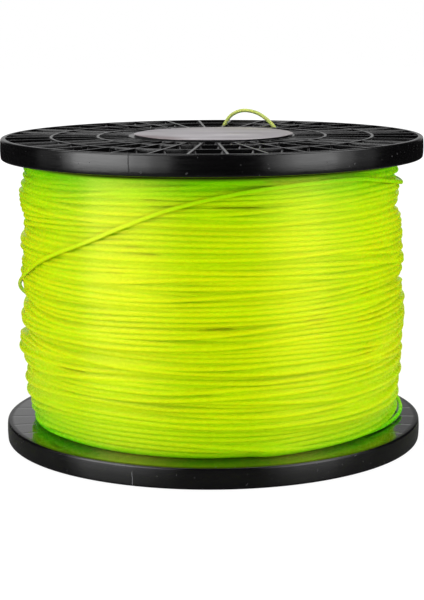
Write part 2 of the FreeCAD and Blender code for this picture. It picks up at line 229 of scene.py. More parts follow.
def plastic_material(name, seam, seam_is_pale, inner_face):
    """Black moulded plastic: flow marks, scuffs, dust, sink lines under the ribs and a weld line.

    The weld line crosses the rim at the angle of the seam. The inner face is at the given height.
    """
    material, tree, shader = new_material(name)
    where = object_point(tree)
    x, y, z = split(tree, where)
    angle = combine(tree, "ARCTAN2", x, times(tree, y, -1.0))
    radius = length(tree, node(tree, "ShaderNodeCombineXYZ", {0: x, 1: y}).outputs[0])
    # the weld line
    wave = noise(tree, where, SEAM_SCALE, stretch=(0.01, 0.01, 1))
    wander = spread(tree, wave, 0.2, 0.8, -SEAM_WANDER, SEAM_WANDER)
    place = plus(tree, minus(tree, angle, math.radians(seam)), wander)
    away = combine(tree, "ABSOLUTE", place)
    line = times(tree, spread(tree, away, *SEAM_FADE, 1.0, 0.0), spread(tree, radius, *RIM_WALL))
    if seam_is_pale:
        line = times(tree, line, spread(tree, z, *SEAM_END, 1.0, 0.0))
    # the inner face: smoother, with a sink line under each rib
    face = spread(tree, distance(tree, z, inner_face), *FACE_DEPTH, 1.0, 0.0)
    face = times(tree, face, spread(tree, radius, *FACE_END, 1.0, 0.0))
    share = times(tree, minus(tree, angle, math.radians(RIB_PHASE)), RIBS / math.tau)
    near_rib = distance(tree, combine(tree, "FRACT", share), 0.5)
    sink = times(tree, spread(tree, near_rib, *SINK_FADE), face)
    # mottling, dust and scuffs
    cloud = noise(tree, where, CLOUD_SCALE, 3)
    grain = noise(tree, where, GRAIN_SCALE)
    scratch = noise(tree, where, SCRATCH_SCALE, 4, stretch=(1, 1, 14), rough=0.7)
    dust = spread(tree, noise(tree, where, DUST_SCALE, 1), *DUST_SHARE)
    base = blend(tree, spread(tree, cloud, 0.35, 0.7), *PLASTIC_BLACKS)
    base = blend(tree, times(tree, dust, 0.35), base, DUST_COLOUR)
    base = blend(tree, times(tree, line, 0.75), base, PALE_SEAM if seam_is_pale else DARK_SEAM)
    rough = plus(tree, spread(tree, scratch, 0.4, 0.75, 0.15, 0.27), times(tree, dust, 0.3))
    height = plus(tree, times(tree, grain, 0.05), times(tree, scratch, 0.12))
    height = plus(tree, height, times(tree, cloud, 0.5))
    for groove in (line, sink):
        height = minus(tree, height, times(tree, groove, GROOVE_DEPTH))
    feed(tree, shader, {
        "Base Color": base,
        "Roughness": minus(tree, rough, times(tree, face, 0.12)),
        "IOR": IOR,
        "Coat Weight": times(tree, face, 0.75),
        "Coat Roughness": 0.12,
        "Normal": bump(tree, height, 0.0004, 0.5),
    })
    return material


# String
STRING_YELLOWS = ((0.60, 0.84, 0.001), (0.68, 0.87, 0.002))
# painted shade: the green that the string turns in creases, near the flanges and low down
STRING_SHADE_GREEN = (0.13, 0.76, 0.0005)
# painted shadow: the near black of the string just under the top rim
STRING_SHADOW_DARK = (0.001, 0.012, 0.0001)
STRING_GLINT = (1.0, 0.8, 0.07, 1)
# paler and bluer than the pack's yellows: painted light, as if the white room shone through the thin loop
LOOP_BACKLIT_YELLOWS = ((0.56, 0.70, 0.18), (0.64, 0.75, 0.24))
# how far red, green and blue travel inside the string, as shares of its reach in metres
STRING_REACH = (0.6, 1.0, 0.05)


def string_material(name, reach, yellows=STRING_YELLOWS, inside=1.0):
    """Neon yellow-green extruded string: satin and a little see-through. Painted shade makes it greener and
    painted shadow makes it near black, as much as each point is marked for them.
    """
    material, tree, shader = new_material(name)
    where = object_point(tree)
    broad = noise(tree, where, 9, stretch=(1, 1, 9))
    fine = noise(tree, where, 240, stretch=(1, 1, 3))
    painted_shading = node(tree, "ShaderNodeAttribute", {}, attribute_name="painted_shading").outputs["Vector"]
    # the painted shade turns the string green, the painted shadow turns it near black and rougher
    green, dark, _ = split(tree, painted_shading)
    base = blend(tree, spread(tree, broad, 0.35, 0.65), *yellows)
    base = blend(tree, green, base, STRING_SHADE_GREEN)
    feed(tree, shader, {
        "Base Color": blend(tree, dark, base, STRING_SHADOW_DARK),
        "Roughness": plus(tree, spread(tree, fine, 0.3, 0.7, 0.22, 0.32), times(tree, dark, 0.6)),
        "IOR": IOR,
        "Specular IOR Level": 0.75,
        "Specular Tint": STRING_GLINT,
        "Subsurface Weight": inside,
        "Subsurface Radius": STRING_REACH,
        "Subsurface Scale": reach,
        "Normal": bump(tree, fine, 0.0001, 0.1),
    })
    return material


# Label and steel
FILM_GREYS = ((0.26, 0.235, 0.255), (0.66, 0.63, 0.65))
FILM_WARM = (0.44, 0.41, 0.35)
FILM_WORN = (0.17, 0.085, 0.085)
STEEL_GREYS = ((0.50, 0.50, 0.52), (0.70, 0.70, 0.71))
# the backing's near blacks: painted shade in the gap under the film's edge
PAD_SHADE_GREYS = ((0.02, 0.018, 0.02), (0.05, 0.045, 0.05))


def label_material():
    """Bare pale film with a streaky grain, a warm tint at the back right and a worn, reddish front left."""
    material, tree, shader = new_material("label_film")
    where = object_point(tree)
    x, y, _ = split(tree, where)
    streak = noise(tree, where, 30, 5, stretch=(0.3, 1.3, 1), rough=0.65)
    cloud = noise(tree, where, CLOUD_SCALE, 3)
    base = blend(tree, spread(tree, streak, 0.32, 0.68), *FILM_GREYS)
    to_back = spread(tree, plus(tree, x, y), 0.0, 0.06)
    base = blend(tree, times(tree, spread(tree, cloud, 0.4, 0.65), to_back), base, FILM_WARM)
    to_edge = times(tree, plus(tree, times(tree, x, 0.8), y), -0.78)
    worn = times(tree, spread(tree, to_edge, 0.034, 0.049), spread(tree, cloud, 0.35, 0.6, 0.35, 1.0))
    worn = times(tree, worn, spread(tree, x, -0.026, -0.012, 1.0, 0.0))
    feed(tree, shader, {
        "Base Color": blend(tree, times(tree, worn, 0.85), base, FILM_WORN),
        "Roughness": spread(tree, streak, 0.2, 0.8, 0.28, 0.5),
        "Normal": bump(tree, streak, 0.0012, 0.6),
    })
    return material


def steel_material():
    """Zinc-plated steel, finely mottled."""
    material, tree, shader = new_material("zinc_steel")
    spots = noise(tree, object_point(tree), 700, 3)
    feed(tree, shader, {
        "Base Color": blend(tree, spots, *STEEL_GREYS),
        "Metallic": 1.0,
        "Roughness": spread(tree, spots, 0.3, 0.7, 0.28, 0.45),
        "Normal": bump(tree, spots, 0.0001, 0.4),
    })
    return material


def pad_material():
    """The backing that the film lies on, coloured near black as painted shade for the gap under the film's
    edge.
    """
    material, tree, shader = new_material("label_backing")
    cells = noise(tree, object_point(tree), 1500)
    feed(tree, shader, {
        "Base Color": blend(tree, cells, *PAD_SHADE_GREYS),
        "Roughness": 0.85,
        "Normal": bump(tree, cells, 0.0003, 0.6),
    })
    return material


upper_plastic = plastic_material("spool_plastic_upper", UPPER_SEAM, False, UPPER_LIFT * MM)
lower_plastic = plastic_material("spool_plastic_lower", LOWER_SEAM, True, FLANGE_HEIGHT * MM)
string = string_material("string_pack", reach=0.006)
single_string = string_material("string_single", reach=0.0012)
loop_string = string_material("string_loop", reach=0.0015, yellows=LOOP_BACKLIT_YELLOWS, inside=0.25)
label_film = label_material()
backing = pad_material()
steel = steel_material()


# The loop on the top

# from one hole of the web to the other, with heights from the top of the rim
LOOP_ROUTE = [
    (5, 96, -14.3), (6.3, 96, -7.5), (10, 95.3, 1), (14.3, 93.7, 7.2), (22, 90.7, 10.8),
    (31.5, 87, 9.8), (39, 84, 5.7), (45.4, 81.4, -0.7), (49.2, 80.2, -7.7), (50, 80, -14.3),
]
loop_curve = bpy.data.curves.new("string_anchor_loop_strand", "CURVE")
loop_curve.dimensions = "3D"
loop_spline = loop_curve.splines.new("NURBS")
loop_spline.points.add(len(LOOP_ROUTE) - 1)
for point, (x, y, z) in zip(loop_spline.points, LOOP_ROUTE):
    point.co = (x * MM, y * MM, (TOP + z) * MM, 1)
loop_spline.order_u = 3
loop_spline.use_endpoint_u = True
loop_spline.resolution_u = 10
loop_curve.bevel_depth = WIRE / 2 * MM
loop_curve.bevel_resolution = 5
loop_curve.use_fill_caps = True
loop_curve.materials.append(loop_string)
anchor_loop = link(bpy.data.objects.new("string_anchor_loop_strand", loop_curve))
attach(anchor_loop, "root")
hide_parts("string_anchor_loop")


# Flanges
HALF_RIB = 0.9
HALF_RING = 1.0
PILLAR = 2.05
# the rows of cells between the hub, the two rings and the rim
ROWS = [(55.5, 77.2), (77.2, 108.7), (108.7, 140.2)]
ARC_STEPS = 6
SIDE_STEPS = 3
CORNER_STEPS = 4
# each loop down a cell's wall: how far it stands out from the wall's own line, its height, and what
# its pillars add
CELL_LOOPS = [
    (-0.35, 14, -0.7), (-0.12, 13.9, -0.6), (0, 13.66, -0.45), (0.1, 10.6, 0.65), (0.28, 4.3, 0.8),
    (0.5, 3.45, 0.8), (1.1, 3.05, 0.8),
]
# the rim's outside as radius and height, from its ribbed face round to the inner face
RIM_SECTION = [
    (140.8, 14), (141.5, 13.93), (142.05, 13.72), (142.45, 13.36), (142.68, 12.9), (142.78, 12.2),
    (142.88, 10.5), (142.97, 8.2), (143, 6.4), (142.97, 4.8), (142.88, 3), (142.75, 1.5),
    (142.65, 0.9), (142.4, 0.4), (141.95, 0.12), (141.3, 0), (140, 0), (138.2, 0), (130, 0),
    (115, 0), (95, 0), (75, 0), (54.3, 0), (53.6, 0.15), (53.3, 0.6),
]
# the hub's inside, from the socket round the plate and the arbor tube to its top
HUB_SECTION = [
    (53.3, 9.4), (52.8, 9.95), (50, 10), (35, 10), (20.4, 10), (19.6, 9.8), (19.5, 9),
    (19.5, 0.6), (19.1, 0.05), (18.4, 0), (16.6, 0), (16.1, 0.15), (16, 0.6), (16, 13.2),
    (16.2, 13.8), (16.8, 14), (20, 14), (54, 14),
]
MERGE_METRES = 0.00001
DEGENERATE_METRES = 0.000001


def cell_outline(inner, outer, grow, flare):
    """A cell's outline in its own sector: ring arcs, rib sides and a round pillar in each corner."""
    half = math.pi / RIBS
    pillar = PILLAR + grow + flare
    ring = HALF_RING + grow
    rib = HALF_RIB + grow
    along = math.sqrt(max(pillar**2 - ring**2, 0.01))
    out = math.sqrt(max(pillar**2 - rib**2, 0.01))
    first = math.atan2(ring, along)
    last = math.atan2(out, rib)
    points = []

    def place(radial, across, near, side):
        """A point from the corner of the tile: radial away from the ring, across away from the rib."""
        base = inner if near else outer
        radius = base + radial if near else base - radial
        turn = side * (half - across / base)
        points.append((radius * math.sin(turn), -radius * math.cos(turn)))

    corners = [(True, -1), (True, 1), (False, 1), (False, -1)]
    steps = [first + (last - first) * i / CORNER_STEPS for i in range(CORNER_STEPS + 1)]
    for index, (near, side) in enumerate(corners):
        for angle in steps if index in (1, 3) else steps[::-1]:
            place(pillar * math.sin(angle), pillar * math.cos(angle), near, side)
        here = points[-1]
        next_near, next_side = corners[(index + 1) % 4]
        if index in (0, 2):
            base = inner + ring if near else outer - ring
            start = math.atan2(here[0], -here[1])
            for i in range(1, ARC_STEPS):
                turn = start * (1 - 2 * i / ARC_STEPS)
                points.append((base * math.sin(turn), -base * math.cos(turn)))
        else:
            place(pillar * math.sin(steps[-1]), pillar * math.cos(steps[-1]), next_near, next_side)
            there = points.pop()
            for i in range(1, SIDE_STEPS):
                share = i / SIDE_STEPS
                points.append(tuple(a + (b - a) * share for a, b in zip(here, there)))
    return points


def tile_edge(inner, outer):
    """The tile's own edge, on the ribs' and rings' middle lines, one point for each outline point."""
    half = math.pi / RIBS
    points = []
    corners = [(inner, -1), (inner, 1), (outer, 1), (outer, -1)]
    for index, (radius, side) in enumerate(corners):
        corner = (radius * math.sin(side * half), -radius * math.cos(side * half))
        points += [corner] * (CORNER_STEPS + 1)
        if index in (0, 2):
            for i in range(1, ARC_STEPS):
                turn = side * half * (1 - 2 * i / ARC_STEPS)
                points.append((radius * math.sin(turn), -radius * math.cos(turn)))
        else:
            next_radius = corners[(index + 1) % 4][0]
            for i in range(1, SIDE_STEPS):
                r = radius + (next_radius - radius) * i / SIDE_STEPS
                points.append((r * math.sin(side * half), -r * math.cos(side * half)))
    return points


def turned(points, angle):
    """The points turned about the reel's axis."""
    c, s = math.cos(angle), math.sin(angle)
    return [(x * c - y * s, x * s + y * c) for x, y in points]


def bridge(faces, one, other):
    """Faces between two loops of as many indices, leaving out repeated points."""
    count = len(one)
    for i in range(count):
        j = (i + 1) % count
        ring = [one[i], one[j], other[j], other[i]]
        face = [v for k, v in enumerate(ring) if v != ring[k - 1]]
        if len(face) > 2:
            faces.append(face)


def revolve_section(verts, faces, section, angles):
    """A surface of revolution through the section's radii and heights, at the given angles."""
    start = len(verts)
    for radius, z in section:
        verts += [(radius * math.sin(a), -radius * math.cos(a), z) for a in angles]
    count = len(angles)
    for row in range(len(section) - 1):
        for i in range(count):
            j = (i + 1) % count
            a = start + row * count
            b = a + count
            faces.append([a + i, b + i, b + j, a + j])


def plain_mesh(name, verts, faces):
    """A mesh from points in millimetres, with nothing else on it."""
    mesh = bpy.data.meshes.new(name)
    mesh.from_pydata([tuple(c * MM for c in v) for v in verts], [], faces)
    return mesh


def flange_mesh(name):
    """The moulding with its inner face at height 0 and its ribs up: the cells, the rim and the hub."""
    verts, faces = [], []
    sector = math.tau / RIBS
    phase = math.radians(RIB_PHASE) + sector / 2
    for inner, outer in ROWS:
        outlines = [(tile_edge(inner, outer), FLANGE_HEIGHT)]
        outlines += [(cell_outline(inner, outer, grow, flare), z) for grow, z, flare in CELL_LOOPS]
        for k in range(RIBS):
            loops = []
            for outline, z in outlines:
                start = len(verts)
                verts += [(x, y, z) for x, y in turned(outline, phase + k * sector)]
                loops.append(list(range(start, len(verts))))
            for one, other in zip(loops, loops[1:]):
                bridge(faces, one, other)
            faces.append(loops[-1])
    around = [phase + math.tau * i / (RIBS * ARC_STEPS) - sector / 2 for i in range(RIBS * ARC_STEPS)]
    first, last = (ROWS[-1][1], FLANGE_HEIGHT), (ROWS[0][0], FLANGE_HEIGHT)
    revolve_section(verts, faces, [first] + RIM_SECTION + HUB_SECTION + [last], around)
    mesh = plain_mesh(name, verts, faces)
    work = bmesh.new()
    work.from_mesh(mesh)
    bmesh.ops.remove_doubles(work, verts=work.verts, dist=MERGE_METRES)
    bmesh.ops.dissolve_degenerate(work, dist=DEGENERATE_METRES, edges=work.edges)
    bmesh.ops.recalc_face_normals(work, faces=work.faces)
    work.to_mesh(mesh)
    work.free()
    return mesh


def prism(verts, faces, centre, radii, heights, sides, turn=0.0):
    """A closed prism of rings, each with its own radius and height."""
    start = len(verts)
    for radius, z in zip(radii, heights):
        for i in range(sides):
            a = math.tau * i / sides + turn
            verts.append((centre[0] + radius * math.cos(a), centre[1] + radius * math.sin(a), z))
    for row in range(len(radii) - 1):
        for i in range(sides):
            j = (i + 1) % sides
            a = start + row * sides
            faces.append([a + i, a + j, a + sides + j, a + sides + i])
    faces.append(list(range(start, start + sides))[::-1])
    last = start + (len(radii) - 1) * sides
    faces.append(list(range(last, last + sides)))


BOLT_ANGLES = [0, 120, 240]
BOLT_CIRCLE = 38
HEXAGON = 6
# radii and heights of the rings of each prism
BOSS = ((8.31, 8.31), (6.0, 12.0))
BOLT_RECESS = ((6.005, 6.005, 6.5, 6.6), (8.6, 13.5, 14.0, 14.4))
BOLT_HOLE = ((3.2, 3.2), (4.0, 8.8))
STRING_HOLE = ((2.75, 2.25, 2.25, 2.75), (-0.5, 0.5, 2.4, 3.6))
STRING_HOLES = [LOOP_ROUTE[0][:2], LOOP_ROUTE[-1][:2]]
ROUND_SIDES = 24
# the hub's ribs: their first angle, half width, start, end and heights
HUB_RIBS = 6
HUB_RIB_ANGLE = 30
HUB_RIB = (1.2, 17.7, 46.5)
HUB_RIB_HEIGHTS = (0.0, 12.0)
BOX_FACES = ((3, 2, 1, 0), (4, 5, 6, 7), (0, 1, 5, 4), (1, 2, 6, 5), (2, 3, 7, 6), (3, 0, 4, 7))


def bolt_places():
    """Each bolt's place, and the turn of the hexagons round it."""
    places = []
    for a in map(math.radians, BOLT_ANGLES):
        places.append(((BOLT_CIRCLE * math.cos(a), BOLT_CIRCLE * math.sin(a)), a + math.pi / 6))
    return places


def flange_adds():
    """Under the hub plate: a boss round each bolt and six ribs out from the arbor tube."""
    verts, faces = [], []
    for place, turn in bolt_places():
        prism(verts, faces, place, *BOSS, HEXAGON, turn)
    half, near, far = HUB_RIB
    for k in range(HUB_RIBS):
        a = math.radians(HUB_RIB_ANGLE + 360 // HUB_RIBS * k)
        c, s = math.cos(a), math.sin(a)
        start = len(verts)
        for z in HUB_RIB_HEIGHTS:
            for r, w in ((near, -half), (far, -half), (far, half), (near, half)):
                verts.append((r * c - w * s, r * s + w * c, z))
        faces += [[start + i for i in face] for face in BOX_FACES]
    return verts, faces


def flange_cuts():
    """The hexagonal recesses with their bolt holes, and the two string holes."""
    verts, faces = [], []
    for place, turn in bolt_places():
        prism(verts, faces, place, *BOLT_RECESS, HEXAGON, turn)
        prism(verts, faces, place, *BOLT_HOLE, ROUND_SIDES)
    for place in STRING_HOLES:
        prism(verts, faces, place, *STRING_HOLE, ROUND_SIDES)
    return verts, faces


def apply_booleans(obj, adds, cuts):
    """Joins the adds to the object and takes the cuts away from it."""
    helpers = []
    for label, operation, (verts, faces) in (("add", "UNION", adds), ("cut", "DIFFERENCE", cuts)):
        helper = link(bpy.data.objects.new(label, plain_mesh(label, verts, faces)))
        helpers.append(helper)
        modifier = obj.modifiers.new(label, "BOOLEAN")
        modifier.operation = operation
        modifier.solver = "EXACT"
        modifier.use_self = True
        modifier.object = helper
    bpy.context.view_layer.update()
    graph = bpy.context.evaluated_depsgraph_get()
    mesh = bpy.data.meshes.new_from_object(obj.evaluated_get(graph))
    obj.modifiers.clear()
    obj.data = mesh
    for helper in helpers:
        data = helper.data
        bpy.data.objects.remove(helper)
        bpy.data.meshes.remove(data)


def finish_flange(obj, material):
    """One material all over, and shading that follows the large faces."""
    count = len(obj.data.polygons)
    obj.data.materials.clear()
    obj.data.materials.append(material)
    obj.data.polygons.foreach_set("use_smooth", [True] * count)
    obj.data.polygons.foreach_set("material_index", [0] * count)
    weighted = obj.modifiers.new("shading", "WEIGHTED_NORMAL")
    weighted.keep_sharp = False
    weighted.weight = 60


upper = link(bpy.data.objects.new("upper_flange_moulding", flange_mesh("upper_flange_moulding")))
apply_booleans(upper, flange_adds(), flange_cuts())
lower = link(bpy.data.objects.new("lower_flange_moulding", upper.data.copy()))
upper.data.transform(Matrix.Translation((0, 0, UPPER_LIFT * MM)))
lower.data.transform(Matrix.Translation((0, 0, FLANGE_HEIGHT * MM)) @ Matrix.Rotation(math.pi, 4, "X"))
finish_flange(upper, upper_plastic)
finish_flange(lower, lower_plastic)
for piece, name in ((upper, "upper_flange"), (lower, "lower_flange")):
    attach(piece, "root")
    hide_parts(name)


# The wound string
STEPS = 120  # points in a turn
TURNS = 174
TURNS_PER_LAYER = 58
LOWEST, HIGHEST = 15.5, 192.0  # the ends of a sweep
STRAND_LOW, STRAND_HIGH = 15.4, 192.1  # no strand lies beyond these
END_MARGIN = 6.0  # the room in which the turns crowd at each end
BASE_RADIUS = 122.6  # of the layers under those that are wound here
LEAN = 0.93  # how far the string's normals lean out
WIND_START = math.pi
# how a sweep strays from an even one: waves in each turn with their size, and slower wanders with
# their spacing in turns and their size
WAVES = ((1, 1.6), (2, 0.9), (3, 0.5), (5, 0.25))
WAVE_TURNS = 6.0
WANDERS = ((0.22, 0.4), (9, 1.5))
# a strand looks for a groove twice: how far, in how many tries, at what cost for each millimetre, and
# how far along itself it smooths what it finds and where it goes
GROOVE_SEARCHES = ((4.0, 25, 0.10, 8, 8), (1.3, 9, 0.15, 1, 3))
# the steps in which a turn eases out of the last one, in height and in radius
JOIN_HEIGHT, JOIN_RADIUS = 10, 5
# the widths over which a strand's radius is smoothed, and how far it may sink under the closer one
REST_BLUR, CLOSE_BLUR, REST_SINK = 2.5, 1.2, 0.2
# how far the pack is drawn in at its ends and its shoulder, and from which height to which
LOW_END, LOW_END_AT = 7.0, (14, 28)
HIGH_END, HIGH_END_AT = 2.5, (193.5, 184.5)
SHOULDER, SHOULDER_AT = 2.2, (136, 162)


def smooth_noise(rng, count, spacing):
    """Smooth random values with the given spacing between its knots."""
    knots = rng.normal(0, 1, int(count / spacing) + 4)
    at = np.arange(count) / spacing + 1
    low = at.astype(int)
    f = at - low
    f = f * f * (3 - 2 * f)
    return knots[low] * (1 - f) + knots[low + 1] * f


def blur(values, width):
    """The values smoothed over a width of so many of them."""
    reach = int(3 * width) + 1
    weights = np.exp(-0.5 * (np.arange(-reach, reach + 1) / width) ** 2)
    weights /= weights.sum()
    padded = np.concatenate([np.full(reach, values[0]), values, np.full(reach, values[-1])])
    return np.convolve(padded, weights, "valid")


def blur_rows(table, width):
    return np.array([blur(row, width) for row in table])


def rounding(share):
    """A quarter of a circle, from 1 at a share of 0 down to 0 at a share of 1."""
    return 1 - np.sqrt(1 - (1 - share) ** 2)


def end_profile(z):
    """How far the pack is drawn in near the flanges, and at its shoulder."""
    ends = LOW_END * rounding(ramp(z, *LOW_END_AT)) + HIGH_END * rounding(ramp(z, *HIGH_END_AT))
    shoulder = ramp(z, *SHOULDER_AT)
    return ends + SHOULDER * shoulder * shoulder * (3 - 2 * shoulder)


def rise(gap):
    """How much farther out a strand lies than one that it rests on, at each distance in height."""
    return np.sqrt(np.maximum(WIRE**2 - gap**2, 0))


def contact(z, radii, heights):
    """The radius at which a strand at height z rests on those laid before it."""
    base = BASE_RADIUS - end_profile(z)
    gap = np.abs(z[None, :] - heights)
    rest = np.where(gap < WIRE, radii + rise(gap), 0)
    return np.maximum(rest.max(0), base) if len(radii) else base


def sweep_heights():
    """The height of each step of the string before it seeks its groove: uneven sweeps up and down."""
    rng = np.random.default_rng(WIND_SEED)
    total = TURNS * STEPS
    t = np.arange(total) / STEPS
    sweep = np.abs((t / TURNS_PER_LAYER + 1) % 2 - 1)
    heights = LOWEST + (HIGHEST - LOWEST) * sweep
    for wave, size in WAVES:
        a = smooth_noise(rng, total, WAVE_TURNS * STEPS) * size
        b = smooth_noise(rng, total, WAVE_TURNS * STEPS) * size
        heights = heights + a * np.cos(math.tau * wave * t) + b * np.sin(math.tau * wave * t)
    for spacing, size in WANDERS:
        heights = heights + smooth_noise(rng, total, spacing * STEPS) * size
    low = LOWEST + END_MARGIN
    high = HIGHEST - END_MARGIN
    crowded = low - END_MARGIN * np.tanh((low - heights) / END_MARGIN)
    heights = np.where(heights < low, crowded, heights)
    crowded = high + END_MARGIN * np.tanh((heights - high) / END_MARGIN)
    return np.where(heights > high, crowded, heights)


def wind():
    """Lays the string turn by turn. Each turn seeks a groove and rests on those below."""
    heights = sweep_heights()
    all_z = np.zeros((TURNS, STEPS))
    all_r = np.zeros((TURNS, STEPS))
    for k in range(TURNS):
        z = heights[k * STEPS : (k + 1) * STEPS]
        below_r, below_z = all_r[:k], all_z[:k]
        for reach, tries, cost, look, soft in GROOVE_SEARCHES:
            offsets = np.linspace(-reach, reach, tries)
            levels = []
            for o in offsets:
                level = contact(z + o, below_r, below_z) + end_profile(z + o) + cost * abs(o)
                levels.append(blur(level, look))
            z = z + blur(offsets[np.argmin(levels, 0)], soft)
        if k:
            ahead = 2 * all_z[k - 1, -1] - all_z[k - 1, -2]
            z = z + (ahead - z[0]) * np.exp(-np.arange(STEPS) / JOIN_HEIGHT)
        z = np.clip(z, STRAND_LOW, STRAND_HIGH)
        r = contact(z, below_r, below_z)
        r = np.maximum(blur(r, REST_BLUR), blur(r, CLOSE_BLUR) - REST_SINK)
        if k:
            r += (all_r[k - 1, -1] - r[0]) * np.exp(-np.arange(STEPS) / JOIN_RADIUS)
        all_z[k], all_r[k] = z, r
    return all_r, all_z


# bundles that stand out at the left and right edges of the pack, in millimetres at the knots' heights
LEFT_KNOTS = [14, *range(20, 189, 6), 193]
RIGHT_KNOTS = [14, 17, *range(20, 189, 6), 193]
LEFT_SWELL = [
    0, -10, -6.5, -3.6, -1.4, 0, 0.3, -4, 1.4, 4, -1.8, -2.3, 0.4, 1.2, -3.2, 0.4, 1.1, 1.5, -0.5, -3.2,
    2.8, -1.4, 0, -2, 3, 4.8, 4, -0.4, 1.2, 2.7, 0,
]
RIGHT_SWELL = [
    0, -9, -8.5, -3.6, -0.4, -1, -0.3, -1.1, 1.9, -0.5, 0, -1.2, 1.5, 3, 3, 3.1, 0.1, -4, 2, 0.4, -1.3,
    -1.6, 0.3, 1.1, 2.6, -1.2, -3.1, -0.9, 1.5, -3.8, -0.2, 0,
]
# how much higher or lower the bundles lie towards the back, and the ripples between them
SWELL_TILT = 5.0
SWELL_BELOW, SWELL_ABOVE = (14, 30), (193.5, 183.5)  # a swell starts and is whole at these heights
SWELL_BLUR = 2
RIPPLE_LENGTHS = (41, 33, 27, 22, 18, 15)
RIPPLE_SIZE = 0.55


def swell(z, a):
    """How far the pack stands out here and there, where turns have bunched in earlier layers."""
    rng = np.random.default_rng(SWELL_SEED)
    left = np.maximum(np.cos(a + math.pi / 2), 0) ** 2
    right = np.maximum(np.cos(a - math.pi / 2), 0) ** 2
    tilt = SWELL_TILT * np.cos(a)
    on_left = np.interp(z + tilt, LEFT_KNOTS, LEFT_SWELL)
    total = left * on_left + right * np.interp(z - tilt, RIGHT_KNOTS, RIGHT_SWELL)
    for ripple in RIPPLE_LENGTHS:
        lean = rng.integers(-3, 4)
        shift = rng.uniform(0, math.tau)
        total = total + (1 - left - right) * RIPPLE_SIZE * np.cos(math.tau * z / ripple + lean * a + shift)
    return total * ramp(z, *SWELL_BELOW) * ramp(z, *SWELL_ABOVE)


def surface_over(radii, heights, grid):
    """The outermost radius of the laid strands at each height of the grid, for each step round."""
    top = np.zeros((len(grid), radii.shape[1]))
    for r, z in zip(radii, heights):
        gap = grid[:, None] - z[None, :]
        own = r + np.sqrt(np.maximum((WIRE / 2) ** 2 - gap**2, 0))
        top = np.maximum(top, np.where(np.abs(gap) < WIRE / 2, own, 0))
    return top


def tube(points, radius, sides):
    """A round tube with flat ends, along points that run round the reel."""
    path = np.array(points)
    way = unit(np.gradient(path, axis=0))
    out = unit(path * (1, 1, 0))
    out = unit(out - way * (out * way).sum(1)[:, None])
    side = np.cross(way, out)
    turn = np.arange(sides) / sides * math.tau
    round_it = out[:, None] * np.cos(turn)[None, :, None] + side[:, None] * np.sin(turn)[None, :, None]
    rings = path[:, None] + radius * round_it
    faces = []
    for a in range(0, (len(path) - 1) * sides, sides):
        for s in range(sides):
            n = (s + 1) % sides
            faces.append((a + s, a + n, a + sides + n, a + sides + s))
    last = (len(path) - 1) * sides
    faces.append(tuple(range(sides))[::-1])
    faces.append(tuple(range(last, last + sides)))
    return rings.reshape(-1, 3), faces


all_r, all_z = wind()
angles = np.arange(STEPS) / STEPS * math.tau + WIND_START
all_r += blur_rows(swell(all_z, angles[None, :]), SWELL_BLUR)

# the whole pack is one body of string, so that light passes from turn to turn inside it:
# its skin is where the outermost turn lies at each height and angle
ROW = 0.3
COLUMNS = 2 * STEPS
PACK_LOW, PACK_HIGH = 14.1, 193.4
CORE_RADIUS = 53.4
GRID_START, GRID_STOP = 14.4, 193.2
grid = np.concatenate([[PACK_LOW], np.arange(GRID_START, GRID_STOP, ROW), [PACK_HIGH]])
# a crease may sink freely by the first, then by a share of the rest, up to a most
CREASE_FREE, CREASE_SHARE, CREASE_MOST = 0.3, 0.4, 1.0
# the rows over which the skin is smoothed: to find its creases, for good, and to tell deep string
CREASE_BLUR, SKIN_BLUR, DEPTH_BLUR = 8, 0.6, 6
# beyond these heights the skin falls off towards the flanges by no more than the slope in each row
SLOPE_BELOW, SLOPE_ABOVE = 19, 189
END_SLOPE = 0.14
# the lowest turns draw in towards the flange by this much, over this height
FOOT_IN, FOOT_HEIGHT = 6.0, 6


def at_columns(values):
    """The turns' values at twice as many angles; a turn ends where the next one starts."""
    line = values.ravel()
    after = np.append(line[1:], line[-1])
    return np.stack([line, (line + after) / 2], 1).reshape(TURNS, COLUMNS)


outside = surface_over(at_columns(all_r), at_columns(all_z), grid)
sunk = np.maximum(blur_rows(outside.T, CREASE_BLUR).T - outside - CREASE_FREE, 0)
outside = outside + sunk - np.minimum(CREASE_SHARE * sunk, CREASE_MOST)
for row in range(np.searchsorted(grid, SLOPE_BELOW), 0, -1):
    outside[row - 1] = np.maximum(outside[row - 1], outside[row] - END_SLOPE)
for row in range(np.searchsorted(grid, SLOPE_ABOVE), len(grid)):
    outside[row] = np.maximum(outside[row], outside[row - 1] - END_SLOPE)
outside = blur_rows(outside.T, SKIN_BLUR).T
outside = (np.roll(outside, 1, 1) + 2 * outside + np.roll(outside, -1, 1)) / 4
smooth_top = blur_rows(outside.T, DEPTH_BLUR).T
fine_angles = np.arange(COLUMNS) / COLUMNS * math.tau + WIND_START
outside = outside - (FOOT_IN * rounding(np.clip((grid - PACK_LOW) / FOOT_HEIGHT, 0, 1)))[:, None]

# the heights at which the painted shade starts to turn the string greener and the painted shadow starts to
# turn it darker, and at which each is whole
TOP_SHADE_AT = (160, 192)
UPPER_SHADE_AT, LOWER_SHADE_AT = (135, 165), (75, 40)
BASE_SHADE_AT, FOOT_SHADE_AT = (42, 18), (20, 15)
# painted shadow: the heights over which the string turns near black just under the top rim
CREST_SHADOW_AT = (189.2, 191.3)
# how much painted shade greens the string in a crease this deep, near either end, under the top and at its
# foot
CREASE_SHADE_DEPTH = 1.6
CREASE_SHADE, END_SHADE, TOP_SHADE, FOOT_SHADE = 0.06, 0.1, 0.8, 0.5
# and near its base: painted shade everywhere, with more at the left and at the right
BASE_SHADE, LEFT_SHADE, RIGHT_SHADE = 0.22, 0.4, 0.25


